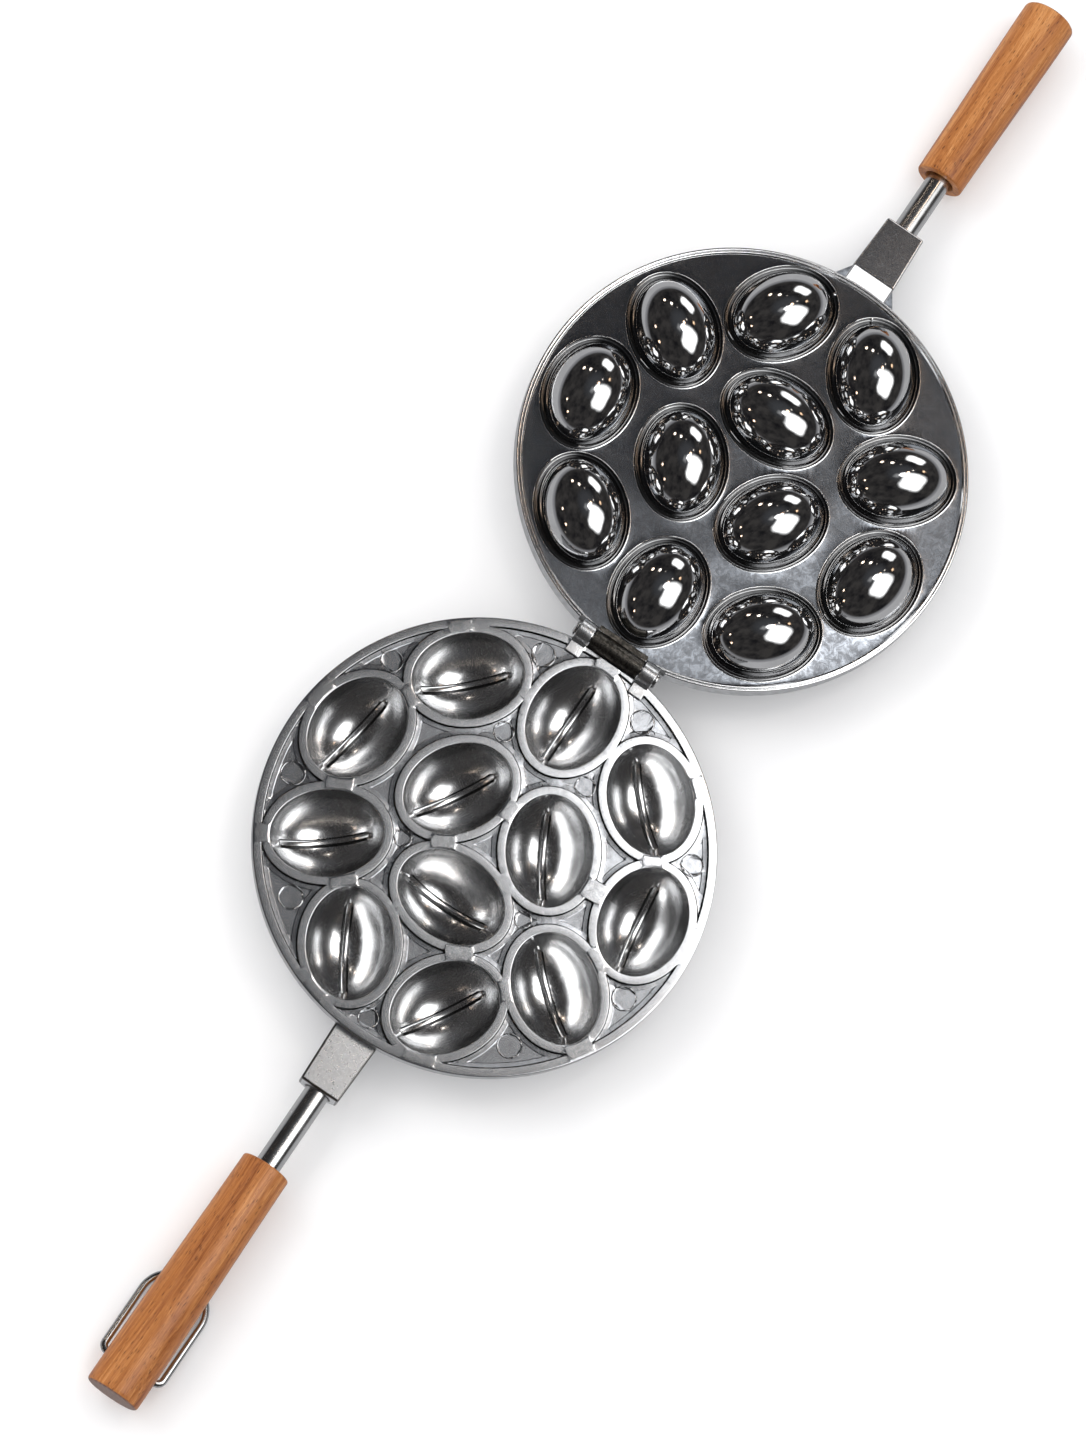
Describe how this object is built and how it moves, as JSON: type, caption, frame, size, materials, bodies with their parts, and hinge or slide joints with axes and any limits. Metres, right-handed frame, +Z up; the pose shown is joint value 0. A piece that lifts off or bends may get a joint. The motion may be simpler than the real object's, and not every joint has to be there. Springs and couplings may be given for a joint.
{
  "type": "walnut cookie mould",
  "caption": "Hinged round cast plates, nut-shaped cavities facing matching domes, on steel-rod handles with wooden grips and a wire locking loop.",
  "frame": {"origin": "centre of the bounding box on the surface that the open mould stands on", "axes": "X runs along both handles with +X towards the dome plate's grip, Y runs along the hinge axis, +Z is up out of the open parting faces"},
  "size_m": [0.657, 0.1758, 0.0389],
  "materials": {
    "cast_plate": "satin cast, polished cavities",
    "polished_plate": "dark field, mirror-polished domes",
    "plated_steel": "bright plated",
    "varnished_beech": "clear satin varnish",
    "wire_steel": "drawn wire"
  },
  "bodies": {
    "cavity_half": {"cavity_plate": "cast_plate", "hinge_pin": "plated_steel", "cavity_handle_rod": "plated_steel", "cavity_handle_grip": "varnished_beech", "cavity_socket_pin": "plated_steel"},
    "dome_half": {"dome_plate": "polished_plate", "dome_handle_rod": "plated_steel", "dome_handle_grip": "varnished_beech", "dome_socket_pin": "plated_steel"},
    "loop": {"locking_loop": "wire_steel"}
  },
  "joints": [
    {"name": "plate_hinge", "type": "hinge", "parent": "cavity_half", "child": "dome_half", "pos_m": [0.0095, 0, 0.0254], "axis": [0, -1, 0], "range_deg": [0, 180]},
    {"name": "loop_pivot", "type": "hinge", "parent": "cavity_half", "child": "loop", "pos_m": [-0.3155, 0, 0.0104], "axis": [0, 1, 0], "range_deg": [0, 275]}
  ]
}
